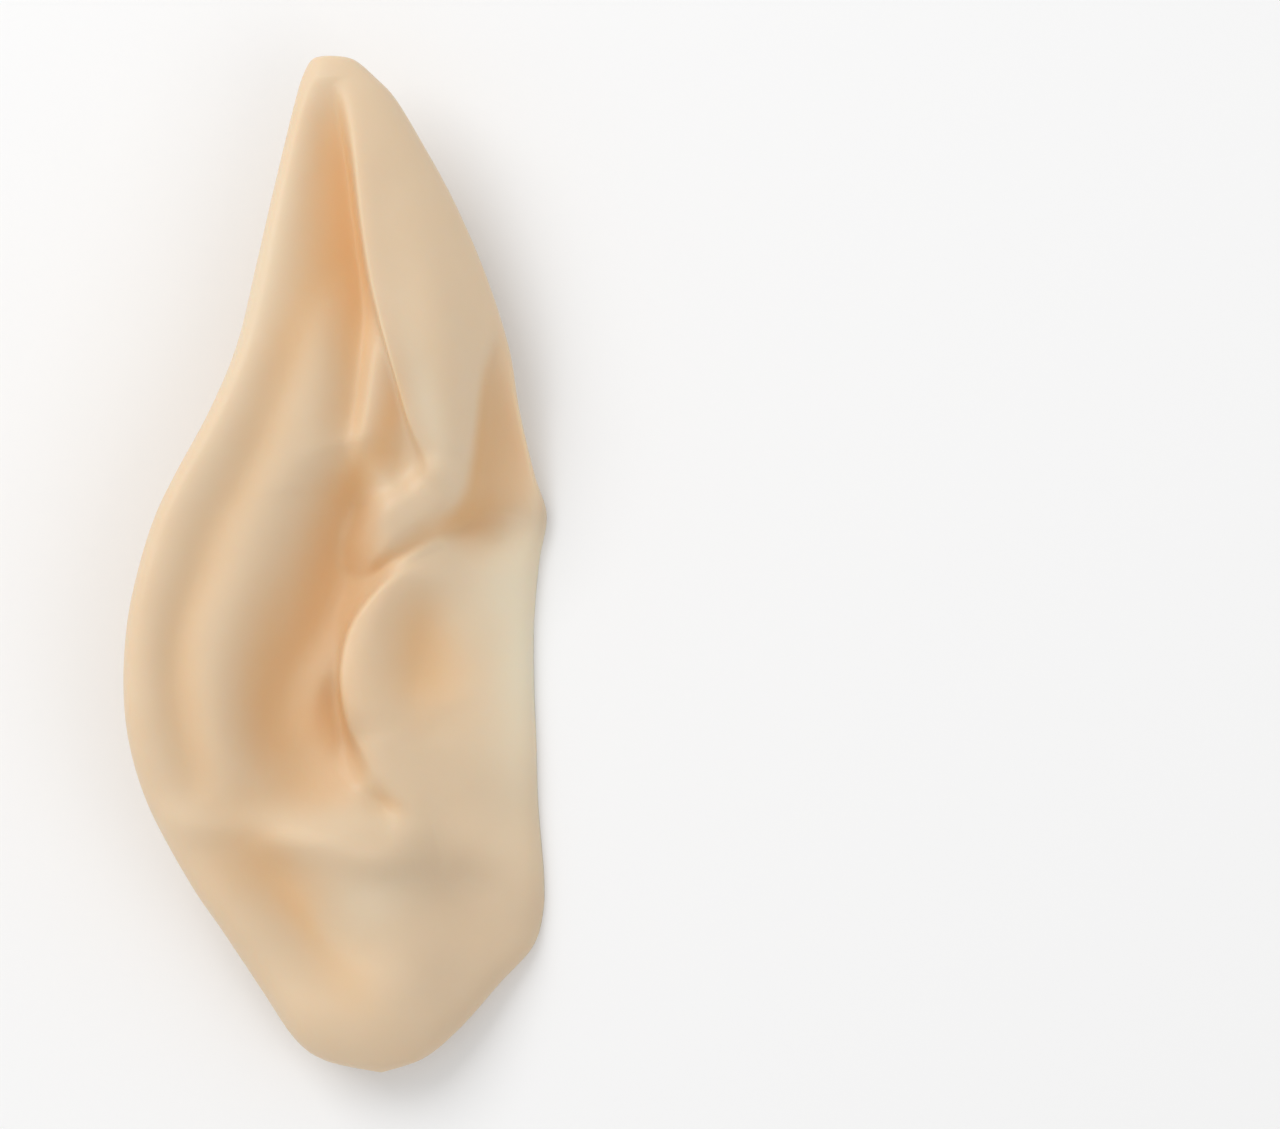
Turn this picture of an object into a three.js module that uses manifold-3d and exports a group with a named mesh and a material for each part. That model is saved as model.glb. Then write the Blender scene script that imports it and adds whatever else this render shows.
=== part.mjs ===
import * as THREE from 'three';
import { mergeVertices } from 'three/addons/utils/BufferGeometryUtils.js';
import Module from 'manifold-3d';

// A slip-on elf ear: one piece of cast latex, a thin bag that is pulled over the wearer's own ear.
// Millimetres. X points to the face, Y to the tip, Z away from the head, and Z = 0 is the trimmed
// edge that lies against the head.

const WIDTH = 49.5;
const HEIGHT = 120;
const STAND_OFF = 25;
const RELIEF = 10;
const WALL = 1.5;
const BACK_ROLL = 7;
const RIM_FADE = 2.5;
const SWELL_ROLL = 3;
const COLUMN_CROWD = 0.34;
const EDGE_LIMIT = 0.48;
const FULL_LEAN_RISE = 0.4;
const SKIN = { rows: 86, front: 38, back: 10 };
const HOLLOW = {
  rows: 42, front: 20, back: 8, top: 0.27, bottom: 0.93,
  squareness: 6, reach: 2.4, evened: 5, least: 0.4, rounding: 2.5,
};
const SAMPLES = { rows: 170, front: 110, back: 50, perSpan: 7 };

const named = (columns, rows) => {
  const names = columns.split(' ');
  return rows.map((row) => Object.fromEntries(names.map((name, i) => [name, row[i]])));
};

// The outline from the tip down to the lobe. Each row is one section across the ear: its end at the
// helix, its end at the face, and where the flap's edge or the tragus's rim crosses it. The u columns
// are shares of WIDTH and the v columns shares of HEIGHT.
const OUTLINE = named('helixU helixV faceU faceV edgeU', [
  [0.493, 1.000, 0.493, 1.000, 0.493],
  [0.448, 0.997, 0.545, 0.996, 0.497],
  [0.424, 0.981, 0.600, 0.977, 0.500],
  [0.407, 0.958, 0.643, 0.958, 0.516],
  [0.383, 0.918, 0.702, 0.918, 0.534],
  [0.350, 0.860, 0.779, 0.860, 0.550],
  [0.312, 0.791, 0.852, 0.791, 0.575],
  [0.269, 0.717, 0.910, 0.717, 0.620],
  [0.205, 0.653, 0.936, 0.653, 0.655],
  [0.124, 0.591, 0.971, 0.591, 0.650],
  [0.076, 0.550, 1.000, 0.550, 0.605],
  [0.040, 0.504, 0.983, 0.506, 0.585],
  [0.010, 0.447, 0.971, 0.447, 0.525],
  [0.000, 0.383, 0.971, 0.383, 0.514],
  [0.014, 0.324, 0.976, 0.324, 0.575],
  [0.060, 0.262, 0.981, 0.262, 0.645],
  [0.152, 0.190, 0.995, 0.190, 0.650],
  [0.224, 0.145, 0.990, 0.152, 0.630],
  [0.271, 0.115, 0.964, 0.121, 0.620],
  [0.324, 0.081, 0.890, 0.088, 0.620],
  [0.400, 0.034, 0.795, 0.044, 0.610],
  [0.474, 0.012, 0.707, 0.014, 0.605],
  [0.605, 0.000, 0.605, 0.000, 0.605],
]);

// How far the sections stand off the head, tip to lobe, a row for every second row of OUTLINE. The
// edges, the swell of the outer face and the bulge of the back are shares of STAND_OFF, and the radii
// at which the face rolls over at its two ends are shares of WIDTH.
const SECTIONS = named('helixZ faceZ helixSwell faceSwell helixRoll faceRoll back', [
  [0.60, 0.60, 0.16, 0.14, 0.05, 0.05, 0.10],
  [0.61, 0.58, 0.17, 0.14, 0.05, 0.06, 0.15],
  [0.64, 0.51, 0.18, 0.14, 0.06, 0.06, 0.20],
  [0.69, 0.38, 0.18, 0.12, 0.06, 0.06, 0.27],
  [0.73, 0.22, 0.18, 0.10, 0.06, 0.05, 0.35],
  [0.74, 0.03, 0.18, 0.11, 0.06, 0.04, 0.42],
  [0.74, -0.03, 0.18, 0.12, 0.06, 0.03, 0.44],
  [0.69, -0.03, 0.18, 0.12, 0.06, 0.03, 0.43],
  [0.54, -0.03, 0.18, 0.14, 0.08, 0.05, 0.34],
  [0.42, 0.02, 0.18, 0.15, 0.10, 0.12, 0.25],
  [0.33, 0.16, 0.17, 0.17, 0.12, 0.18, 0.15],
  [0.25, 0.25, 0.12, 0.12, 0.12, 0.16, 0.10],
]);

// The folds of the outer face. Each follows a path of u and v, shares of WIDTH and HEIGHT; its rise is
// a share of RELIEF, and helixward and faceward are how far it reaches to either side as shares of
// WIDTH. A fold with a lean hangs over its helix side by that share of WIDTH.
const fold = (rows, { lean = 0, power = 2 } = {}) => ({
  path: named('u v rise helixward faceward', rows), lean, power,
});
const FOLDS = {
  fossa: fold([
    [0.488, 0.978, 0.00, 0.05, 0.030],
    [0.505, 0.935, -0.20, 0.09, 0.030],
    [0.526, 0.889, -0.27, 0.12, 0.030],
    [0.540, 0.840, -0.28, 0.13, 0.032],
    [0.556, 0.790, -0.28, 0.12, 0.034],
    [0.560, 0.742, -0.24, 0.09, 0.034],
    [0.550, 0.692, -0.18, 0.07, 0.030],
    [0.532, 0.643, -0.14, 0.06, 0.030],
    [0.500, 0.594, 0.00, 0.05, 0.040],
  ]),
  flap: fold([
    [0.512, 0.975, 0.00, 0.020, 0.080],
    [0.548, 0.935, 0.12, 0.028, 0.100],
    [0.576, 0.889, 0.25, 0.030, 0.130],
    [0.596, 0.840, 0.32, 0.032, 0.150],
    [0.618, 0.790, 0.36, 0.034, 0.160],
    [0.648, 0.742, 0.40, 0.034, 0.150],
    [0.680, 0.692, 0.40, 0.030, 0.120],
    [0.712, 0.643, 0.36, 0.032, 0.090],
    [0.745, 0.604, 0.24, 0.040, 0.075],
    [0.745, 0.575, 0.08, 0.050, 0.060],
    [0.715, 0.550, 0.00, 0.050, 0.050],
  ], { lean: 0.035 }),
  flapCrest: fold([
    [0.680, 0.880, 0.00, 0.050, 0.060],
    [0.712, 0.840, 0.06, 0.060, 0.065],
    [0.748, 0.790, 0.12, 0.065, 0.065],
    [0.772, 0.742, 0.18, 0.066, 0.060],
    [0.790, 0.692, 0.22, 0.062, 0.058],
    [0.792, 0.643, 0.22, 0.056, 0.054],
    [0.792, 0.604, 0.18, 0.050, 0.050],
    [0.775, 0.575, 0.07, 0.048, 0.050],
    [0.750, 0.555, 0.00, 0.048, 0.050],
  ]),
  triangle: fold([
    [0.632, 0.690, 0.00, 0.030, 0.030],
    [0.645, 0.660, -0.01, 0.045, 0.030],
    [0.650, 0.630, -0.02, 0.050, 0.030],
    [0.645, 0.605, -0.06, 0.060, 0.030],
    [0.615, 0.585, 0.00, 0.060, 0.050],
  ]),
  lowerCrus: fold([
    [0.605, 0.745, 0.00, 0.030, 0.060],
    [0.598, 0.710, 0.11, 0.030, 0.090],
    [0.590, 0.680, 0.13, 0.030, 0.100],
    [0.578, 0.643, 0.13, 0.032, 0.085],
    [0.562, 0.612, 0.12, 0.034, 0.065],
    [0.543, 0.585, 0.07, 0.035, 0.050],
    [0.530, 0.560, 0.00, 0.030, 0.040],
  ]),
  scapha: fold([
    [0.460, 0.790, 0.00, 0.060, 0.050],
    [0.425, 0.742, -0.05, 0.070, 0.050],
    [0.386, 0.692, -0.08, 0.060, 0.050],
    [0.342, 0.643, -0.10, 0.060, 0.050],
    [0.292, 0.594, -0.11, 0.060, 0.050],
    [0.226, 0.545, -0.12, 0.060, 0.055],
    [0.182, 0.496, -0.12, 0.055, 0.055],
    [0.140, 0.447, -0.12, 0.050, 0.050],
    [0.127, 0.398, -0.13, 0.050, 0.050],
    [0.140, 0.349, -0.12, 0.050, 0.050],
    [0.164, 0.300, -0.09, 0.050, 0.050],
    [0.200, 0.270, 0.00, 0.050, 0.050],
  ]),
  antihelix: fold([
    [0.505, 0.790, 0.00, 0.05, 0.04],
    [0.510, 0.742, 0.04, 0.08, 0.05],
    [0.512, 0.692, 0.06, 0.09, 0.05],
    [0.498, 0.643, 0.07, 0.10, 0.06],
    [0.460, 0.594, 0.07, 0.11, 0.07],
    [0.388, 0.545, 0.07, 0.11, 0.09],
    [0.322, 0.496, 0.07, 0.10, 0.09],
    [0.264, 0.447, 0.07, 0.08, 0.08],
    [0.232, 0.398, 0.06, 0.07, 0.07],
    [0.230, 0.349, 0.05, 0.07, 0.06],
    [0.252, 0.300, 0.04, 0.06, 0.06],
    [0.280, 0.265, 0.00, 0.06, 0.06],
  ]),
  concha: fold([
    [0.505, 0.620, 0.00, 0.08, 0.08],
    [0.532, 0.575, -0.38, 0.10, 0.054],
    [0.515, 0.515, -0.58, 0.11, 0.08],
    [0.475, 0.450, -0.62, 0.12, 0.11],
    [0.425, 0.398, -0.62, 0.12, 0.14],
    [0.410, 0.349, -0.62, 0.12, 0.15],
    [0.430, 0.310, -0.55, 0.13, 0.15],
    [0.460, 0.280, -0.36, 0.14, 0.13],
    [0.485, 0.256, -0.12, 0.14, 0.12],
    [0.500, 0.236, 0.00, 0.12, 0.12],
  ]),
  conchaPitBehind: fold([
    [0.340, 0.430, 0.00, 0.05, 0.05],
    [0.328, 0.370, -0.07, 0.05, 0.05],
    [0.332, 0.330, -0.07, 0.05, 0.05],
    [0.345, 0.290, 0.00, 0.05, 0.05],
  ]),
  conchaPitUnderTragus: fold([
    [0.490, 0.395, 0.00, 0.040, 0.040],
    [0.510, 0.362, -0.12, 0.045, 0.040],
    [0.528, 0.330, -0.17, 0.050, 0.045],
    [0.542, 0.302, -0.08, 0.060, 0.045],
    [0.555, 0.284, 0.00, 0.060, 0.040],
  ]),
  conchaRidge: fold([
    [0.560, 0.495, 0.00, 0.04, 0.04],
    [0.515, 0.450, 0.08, 0.04, 0.04],
    [0.465, 0.400, 0.11, 0.05, 0.04],
    [0.430, 0.355, 0.07, 0.05, 0.04],
    [0.415, 0.320, 0.00, 0.05, 0.04],
  ]),
  helixCrus: fold([
    [0.800, 0.605, 0.00, 0.050, 0.060],
    [0.766, 0.582, 0.17, 0.068, 0.066],
    [0.704, 0.554, 0.27, 0.078, 0.076],
    [0.636, 0.534, 0.25, 0.084, 0.078],
    [0.586, 0.516, 0.22, 0.074, 0.060],
    [0.560, 0.502, 0.12, 0.054, 0.044],
    [0.546, 0.490, 0.00, 0.040, 0.040],
  ], { power: 4 }),
  crease: fold([
    [0.570, 0.484, 0.00, 0.018, 0.020],
    [0.596, 0.496, -0.09, 0.015, 0.020],
    [0.636, 0.508, -0.13, 0.015, 0.024],
    [0.725, 0.531, -0.15, 0.018, 0.035],
    [0.800, 0.543, -0.12, 0.030, 0.040],
    [0.880, 0.549, -0.09, 0.050, 0.050],
    [0.960, 0.558, 0.00, 0.050, 0.050],
  ]),
  tragus: fold([
    [0.800, 0.512, 0.00, 0.040, 0.080],
    [0.725, 0.499, 0.18, 0.036, 0.090],
    [0.644, 0.478, 0.31, 0.036, 0.100],
    [0.576, 0.440, 0.42, 0.036, 0.100],
    [0.552, 0.398, 0.46, 0.034, 0.100],
    [0.562, 0.355, 0.44, 0.034, 0.130],
    [0.598, 0.318, 0.30, 0.048, 0.150],
    [0.645, 0.290, 0.19, 0.068, 0.120],
    [0.668, 0.260, 0.15, 0.052, 0.085],
    [0.674, 0.222, 0.00, 0.050, 0.050],
  ], { lean: 0.035 }),
  tragusDimple: fold([
    [0.730, 0.490, 0.00, 0.05, 0.05],
    [0.705, 0.440, -0.17, 0.06, 0.07],
    [0.700, 0.395, -0.17, 0.06, 0.10],
    [0.710, 0.355, -0.07, 0.05, 0.10],
    [0.720, 0.320, 0.00, 0.05, 0.08],
  ]),
  flapHollow: fold([
    [0.900, 0.735, 0.00, 0.016, 0.05],
    [0.881, 0.708, -0.18, 0.017, 0.10],
    [0.865, 0.680, -0.28, 0.018, 0.13],
    [0.856, 0.640, -0.36, 0.019, 0.15],
    [0.848, 0.602, -0.38, 0.021, 0.16],
    [0.830, 0.570, -0.34, 0.024, 0.15],
    [0.792, 0.546, -0.20, 0.026, 0.12],
    [0.745, 0.528, 0.00, 0.030, 0.06],
  ], { power: 3 }),
  antitragus: fold([
    [0.050, 0.258, 0.00, 0.05, 0.05],
    [0.130, 0.252, 0.07, 0.05, 0.05],
    [0.210, 0.247, 0.11, 0.05, 0.05],
    [0.340, 0.240, 0.12, 0.06, 0.06],
    [0.490, 0.227, 0.15, 0.06, 0.058],
    [0.618, 0.214, 0.17, 0.05, 0.052],
    [0.738, 0.224, 0.00, 0.05, 0.060],
  ]),
};

// Round swellings and dips of the outer face: a centre as shares of WIDTH and HEIGHT, the turn of the
// long axis in degrees, the reach along and across it as shares of WIDTH, and a rise of RELIEF.
const SWELLINGS = named('u v turn along across rise', [
  [0.720, 0.541, 35, 0.06, 0.040, 0.04],
  [0.390, 0.178, -54, 0.20, 0.09, -0.32],
  [0.520, 0.120, -56, 0.12, 0.10, -0.12],
  [0.785, 0.183, -15, 0.14, 0.09, -0.24],
  [0.480, 0.060, 0, 0.18, 0.10, 0.12],
  [0.620, 0.265, -22, 0.065, 0.032, -0.12],
]);

const toX = (u) => (u - 0.5) * WIDTH;
const toY = (v) => (v - 0.5) * HEIGHT;
const { lerp, clamp } = THREE.MathUtils;

// A smooth curve through the rows of a table, every column at once, at the share t of its length.
const along = (rows, t) => {
  const place = clamp(t, 0, 1) * (rows.length - 1);
  const i = Math.min(Math.floor(place), rows.length - 2);
  const w = place - i;
  const row = (k) => rows[clamp(k, 0, rows.length - 1)];
  return Object.fromEntries(Object.keys(rows[0]).map((name) => {
    const [p0, p1, p2, p3] = [-1, 0, 1, 2].map((k) => row(i + k)[name]);
    const [v0, v1] = [(p2 - p0) / 2, (p3 - p1) / 2];
    return [name, ((2 * p1 - 2 * p2 + v0 + v1) * w + (-3 * p1 + 3 * p2 - 2 * v0 - v1)) * w * w
      + v0 * w + p1];
  }));
};

const STROKES = Object.values(FOLDS).map(({ path, lean, power }) => {
  const count = (path.length - 1) * SAMPLES.perSpan;
  const points = Array.from({ length: count + 1 }, (_, k) => {
    const { u, v, ...rest } = along(path, k / count);
    return { x: toX(u), y: toY(v), ...rest };
  });
  return { points, lean, power };
});

// The part that one fold plays at a place of the face: 0 to 1, and the rise of the nearest point.
const pull = ({ points, power }, x, y) => {
  let best = { gap: Infinity, rise: 0, reach: 1 };
  for (let k = 1; k < points.length; k += 1) {
    const [a, b] = [points[k - 1], points[k]];
    const [dx, dy] = [b.x - a.x, b.y - a.y];
    const share = clamp(((x - a.x) * dx + (y - a.y) * dy) / (dx * dx + dy * dy), 0, 1);
    const gap = Math.hypot(x - a.x - share * dx, y - a.y - share * dy);
    if (gap < best.gap) {
      const reach = dx * (y - a.y) - dy * (x - a.x) > 0 ? 'faceward' : 'helixward';
      best = { gap, rise: lerp(a.rise, b.rise, share), reach: WIDTH * lerp(a[reach], b[reach], share) };
    }
  }
  return { rise: best.rise, amount: Math.exp(-((best.gap / best.reach) ** power)) };
};

const relief = (x, y) => {
  let [height, shift] = [0, 0];
  for (const stroke of STROKES) {
    const { rise, amount } = pull(stroke, x, y);
    height += rise * amount * RELIEF;
    shift -= stroke.lean * WIDTH * amount * clamp(rise / FULL_LEAN_RISE, 0, 1);
  }
  for (const { u, v, turn, along: length, across, rise } of SWELLINGS) {
    const spot = new THREE.Vector2(x - toX(u), y - toY(v))
      .rotateAround(new THREE.Vector2(), -THREE.MathUtils.degToRad(turn));
    height += rise * RELIEF
      * Math.exp(-((spot.x / (length * WIDTH)) ** 2) - (spot.y / (across * WIDTH)) ** 2);
  }
  return { height, shift };
};

// One section across the ear at the share t from tip to lobe.
const section = (t) => {
  const o = along(OUTLINE, t);
  const s = along(SECTIONS, t);
  const helix = new THREE.Vector3(toX(o.helixU), toY(o.helixV), s.helixZ * STAND_OFF);
  const face = new THREE.Vector3(toX(o.faceU), toY(o.faceV), s.faceZ * STAND_OFF);
  const half = Math.hypot(face.x - helix.x, face.y - helix.y) / 2;
  const spread = Math.max((o.faceU - o.helixU) / 2, 1e-4);
  const edge = clamp((o.edgeU - (o.helixU + o.faceU) / 2) / spread, -EDGE_LIMIT, EDGE_LIMIT);
  return { helix, face, half, edge, ...s };
};

// A point of the outer face, at the share c from the helix to the face side.
const outerFace = (sec, c) => {
  const turn = Math.PI * c + COLUMN_CROWD * Math.sin(2 * Math.PI * c);
  const across = -Math.cos(turn);
  const place = across + (sec.half > 0 ? sec.edge : 0) * (1 - across * across);
  const point = sec.helix.clone().lerp(sec.face, (1 + place) / 2);
  const room = sec.half * (1 - place * place);
  const share = (1 + place) / 2;
  const roll = WIDTH * lerp(sec.helixRoll, sec.faceRoll, share);
  const swell = STAND_OFF * lerp(sec.helixSwell, sec.faceSwell, share);
  const { height, shift } = relief(point.x, point.y);
  const fade = 1 - Math.exp(-room / RIM_FADE);
  point.z += swell * Math.sqrt((1 - Math.exp(-room / roll)) * (1 - Math.exp(-sec.half / SWELL_ROLL)));
  point.x += shift * fade;
  point.z += height * fade;
  return point;
};

// A point of the side that faces the head.
const headSide = (sec, c) => {
  const place = -Math.cos(Math.PI * c);
  const point = sec.helix.clone().lerp(sec.face, (1 + place) / 2);
  const room = sec.half * (1 - place * place);
  point.z -= sec.back * STAND_OFF
    * Math.sqrt((1 - Math.exp(-room / BACK_ROLL)) * (1 - Math.exp(-sec.half / BACK_ROLL)));
  return point;
};

// A ball whose grid is laid over the ear: its poles go to the tip and the lobe, one half of its
// columns to the outer face and the other half to the side that faces the head.
const wrap = ({ rows, front, back }, place) => {
  const ball = new THREE.SphereGeometry(1, front + back, rows);
  const { position } = ball.attributes;
  for (let row = 0; row <= rows; row += 1) {
    for (let column = 0; column <= front + back; column += 1) {
      const outer = column <= front;
      const c = outer ? column / front : 1 - (column - front) / back;
      position.setXYZ(row * (front + back + 1) + column, ...place(row / rows, c, outer).toArray());
    }
  }
  ball.deleteAttribute('normal');
  ball.deleteAttribute('uv');
  return mergeVertices(ball, 1e-5);
};

const skin = wrap(SKIN, (t, c, outer) => (outer ? outerFace : headSide)(section(t), c));

// The hollow is a softened copy of the outer form. Its ceiling hangs at least WALL under the outer face
// and is drawn flat under the narrow folds, and its floor lies WALL above the head side.
const sheet = (surface, columns) => Array.from({ length: SAMPLES.rows + 1 }, (_, row) => {
  const sec = section(row / SAMPLES.rows);
  return Array.from({ length: columns + 1 }, (__, column) => surface(sec, column / columns));
}).flat();
const ceilingSamples = sheet(outerFace, SAMPLES.front);
const floorSamples = sheet(headSide, SAMPLES.back);
const movedIn = (samples, { x, y }, sign, reach) => {
  let limit = Infinity;
  for (const p of samples) {
    const away = Math.hypot(p.x - x, p.y - y);
    const kept = WALL * Math.sqrt(Math.max(1 - (away / reach) ** 2, 0));
    if (away < reach) limit = Math.min(limit, sign * p.z - kept);
  }
  return sign * limit;
};
const hollowGrid = (columns) => {
  let grid = Array.from({ length: HOLLOW.rows + 1 }, (_, row) => {
    const down = -Math.cos(Math.PI * row / HOLLOW.rows);
    const sec = section(lerp(HOLLOW.top, HOLLOW.bottom, (1 + down) / 2));
    const open = Math.sqrt(1 - Math.abs(down) ** HOLLOW.squareness);
    return Array.from({ length: columns + 1 }, (__, column) => {
      const across = -Math.cos(Math.PI * column / columns);
      const point = sec.helix.clone().lerp(sec.face, (1 + across * open * (1 - WALL / sec.half)) / 2);
      const rounding = Math.min(1, HOLLOW.rounding * open * Math.sqrt(Math.max(1 - across * across, 0)));
      const floor = movedIn(floorSamples, point, -1, WALL);
      const ceiling = Math.max(movedIn(ceilingSamples, point, 1, HOLLOW.reach), floor + HOLLOW.least);
      return { point, rounding, ceiling, floor, middle: clamp(point.z, floor, ceiling) };
    });
  });
  for (let pass = 0; pass < HOLLOW.evened; pass += 1) {
    grid = grid.map((line, row) => line.map((cell, column) => {
      const near = [grid[row - 1]?.[column], grid[row + 1]?.[column], line[column - 1], line[column + 1]]
        .filter(Boolean);
      const mean = near.reduce((sum, { ceiling }) => sum + ceiling, 0) / near.length;
      return { ...cell, ceiling: clamp(mean, cell.floor + HOLLOW.least, cell.ceiling) };
    }));
  }
  return grid;
};
const grids = { front: hollowGrid(HOLLOW.front), back: hollowGrid(HOLLOW.back) };
const hollow = wrap(HOLLOW, (share, c, outer) => {
  const side = outer ? 'front' : 'back';
  const cell = grids[side][Math.round(share * HOLLOW.rows)][Math.round(c * HOLLOW[side])];
  const z = lerp(cell.middle, outer ? cell.ceiling : cell.floor, cell.rounding);
  return cell.point.clone().setZ(z);
});

const kernel = await Module();
kernel.setup();
const solid = (geometry) => new kernel.Manifold(new kernel.Mesh({
  numProp: 3,
  vertProperties: Float32Array.from(geometry.attributes.position.array),
  triVerts: Uint32Array.from(geometry.index.array),
}));
const belowHead = mergeVertices(new THREE.BoxGeometry(3 * WIDTH, 2 * HEIGHT, 2 * STAND_OFF)
  .translate(0, 0, -STAND_OFF).deleteAttribute('normal').deleteAttribute('uv'));
// The trim leaves a crumb loose beside the hollow where its edge meets the head, so only the ear is kept.
const [trimmed] = solid(skin).subtract(solid(hollow)).subtract(solid(belowHead)).decompose()
  .sort((a, b) => b.volume() - a.volume());

const mesh = trimmed.getMesh();
const geometry = new THREE.BufferGeometry();
geometry.setAttribute('position', new THREE.BufferAttribute(mesh.vertProperties, 3));
geometry.setIndex(new THREE.BufferAttribute(mesh.triVerts, 1));
geometry.computeVertexNormals();

const latex = new THREE.MeshStandardMaterial({ color: '#dcc19c', roughness: 0.55, metalness: 0 });
const ear = new THREE.Mesh(geometry, latex);
ear.name = 'ear_shell';
const part = new THREE.Group();
part.add(ear);
export default part;
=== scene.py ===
"""A slip-on elf ear of cast latex, seen from straight ahead on a white table.

Metres, in the frame of the model: X points to the face, Y to the tip, Z away from the head, and
Z = 0 is the trimmed edge that lies against the head.
"""

import logging
from dataclasses import dataclass, field
from enum import Enum
from typing import Any, NamedTuple, Optional, Sequence, Union

import bmesh
import bpy
import numpy as np
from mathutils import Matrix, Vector
from mathutils.kdtree import KDTree


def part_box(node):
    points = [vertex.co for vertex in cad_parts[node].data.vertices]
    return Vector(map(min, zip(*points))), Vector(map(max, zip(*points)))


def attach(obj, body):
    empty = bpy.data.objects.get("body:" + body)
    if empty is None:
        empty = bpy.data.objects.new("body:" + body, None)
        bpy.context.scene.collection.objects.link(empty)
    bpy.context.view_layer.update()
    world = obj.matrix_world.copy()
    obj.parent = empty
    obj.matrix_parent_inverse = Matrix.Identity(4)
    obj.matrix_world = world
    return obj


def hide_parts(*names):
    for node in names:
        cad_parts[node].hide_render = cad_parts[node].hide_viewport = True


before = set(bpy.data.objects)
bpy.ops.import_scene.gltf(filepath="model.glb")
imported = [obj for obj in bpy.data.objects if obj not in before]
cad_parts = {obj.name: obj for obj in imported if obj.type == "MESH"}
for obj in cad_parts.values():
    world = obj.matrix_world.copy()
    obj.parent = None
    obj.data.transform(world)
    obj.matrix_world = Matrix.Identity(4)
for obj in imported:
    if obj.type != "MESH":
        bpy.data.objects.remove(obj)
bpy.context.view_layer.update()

Grid = np.ndarray
Colour = tuple[float, float, float, float]

MM = 0.001
NODE = "ear_shell"
PHOTO_PIXELS = (1280, 1129)
PHOTO_EAR_MIDDLE = (336.0, 566.0)
PHOTO_EAR_HEIGHT = 1018.0
# The form's stand-off, as a multiple of the depth that the model has once its folds are in.
STAND_OFF_TO_DEPTH = 1.164
SMOOTHING = 0.5
NOISE_MIDDLE = 0.5

log = logging.getLogger("elf_ear")


class Outline(NamedTuple):
    """Where one section ends, and where the flap's edge or the tragus's rim crosses it."""

    helix_u: float
    helix_v: float
    face_u: float
    face_v: float
    edge_u: float


class Section(NamedTuple):
    """How far one section stands off the head, how it swells and how it rolls over at its ends."""

    helix_z: float
    face_z: float
    helix_swell: float
    face_swell: float
    helix_roll: float
    face_roll: float
    back: float


class Step(NamedTuple):
    """One point on the path of a fold: its place, its rise and its reach to either side."""

    u: float
    v: float
    rise: float
    helixward: float
    faceward: float


class Spot(NamedTuple):
    """A soft oval on the outer face: its centre, its turn in degrees, its reach and its amount."""

    u: float
    v: float
    turn: float
    along: float
    across: float
    amount: float


class Cloud(NamedTuple):
    """A cloudy noise: its clouds to a metre, its finer layers and how strong those are."""

    scale: float
    detail: float
    roughness: float = 0.5


class Bump(NamedTuple):
    """How a noise dents the skin: how strongly, and how deep in metres."""

    strength: float
    depth: float


class PigmentAndPaintedLight(Enum):
    """The colours painted on the skin, each an attribute of it: blush that is partly painted shade,
    painted shade, and pale that is partly painted light.
    """

    BLUSH_AND_SHADE = "blush_and_shade"
    PAINTED_SHADE = "painted_shade"
    PALE_AND_PAINTED_LIGHT = "pale_and_painted_light"


@dataclass(frozen=True)
class Fold:
    """A ridge or a valley of the outer face.

    A fold with a lean hangs over its helix side by that share of the width. The power says how flat
    its crest is, and the blush how much colour gathers in it by its depth, partly the latex's own
    tint and partly painted shade.
    """

    steps: tuple[Step, ...]
    lean: float = 0.0
    power: float = 2.0
    blush_and_shade: float = 0.0


def rows(kind: type, *table: tuple[float, ...]) -> tuple:
    """The rows of a table as named tuples of one kind."""
    return tuple(kind(*row) for row in table)


OUTLINE = rows(
    Outline,
    (0.493, 1.000, 0.493, 1.000, 0.493),
    (0.448, 0.997, 0.545, 0.996, 0.497),
    (0.424, 0.981, 0.600, 0.977, 0.500),
    (0.407, 0.958, 0.643, 0.958, 0.516),
    (0.383, 0.918, 0.702, 0.918, 0.534),
    (0.350, 0.860, 0.779, 0.860, 0.550),
    (0.312, 0.791, 0.852, 0.791, 0.575),
    (0.269, 0.717, 0.910, 0.717, 0.620),
    (0.205, 0.653, 0.936, 0.653, 0.655),
    (0.124, 0.591, 0.971, 0.591, 0.650),
    (0.076, 0.550, 1.000, 0.550, 0.605),
    (0.040, 0.504, 0.983, 0.506, 0.585),
    (0.010, 0.447, 0.971, 0.447, 0.525),
    (0.000, 0.383, 0.971, 0.383, 0.514),
    (0.014, 0.324, 0.976, 0.324, 0.575),
    (0.060, 0.262, 0.981, 0.262, 0.645),
    (0.152, 0.190, 0.995, 0.190, 0.650),
    (0.224, 0.145, 0.990, 0.152, 0.630),
    (0.271, 0.115, 0.964, 0.121, 0.620),
    (0.324, 0.081, 0.890, 0.088, 0.620),
    (0.400, 0.034, 0.795, 0.044, 0.610),
    (0.474, 0.012, 0.707, 0.014, 0.605),
    (0.605, 0.000, 0.605, 0.000, 0.605),
)

SECTIONS = rows(
    Section,
    (0.60, 0.60, 0.16, 0.14, 0.05, 0.05, 0.10),
    (0.61, 0.58, 0.17, 0.14, 0.05, 0.06, 0.15),
    (0.64, 0.51, 0.18, 0.14, 0.06, 0.06, 0.20),
    (0.69, 0.38, 0.18, 0.12, 0.06, 0.06, 0.27),
    (0.73, 0.22, 0.18, 0.10, 0.06, 0.05, 0.35),
    (0.74, 0.03, 0.18, 0.11, 0.06, 0.04, 0.42),
    (0.74, -0.03, 0.18, 0.12, 0.06, 0.03, 0.44),
    (0.69, -0.03, 0.18, 0.12, 0.06, 0.03, 0.43),
    (0.54, -0.03, 0.18, 0.14, 0.08, 0.05, 0.34),
    (0.42, 0.02, 0.18, 0.15, 0.10, 0.12, 0.25),
    (0.33, 0.16, 0.17, 0.17, 0.12, 0.18, 0.15),
    (0.25, 0.25, 0.12, 0.12, 0.12, 0.16, 0.10),
)

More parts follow.
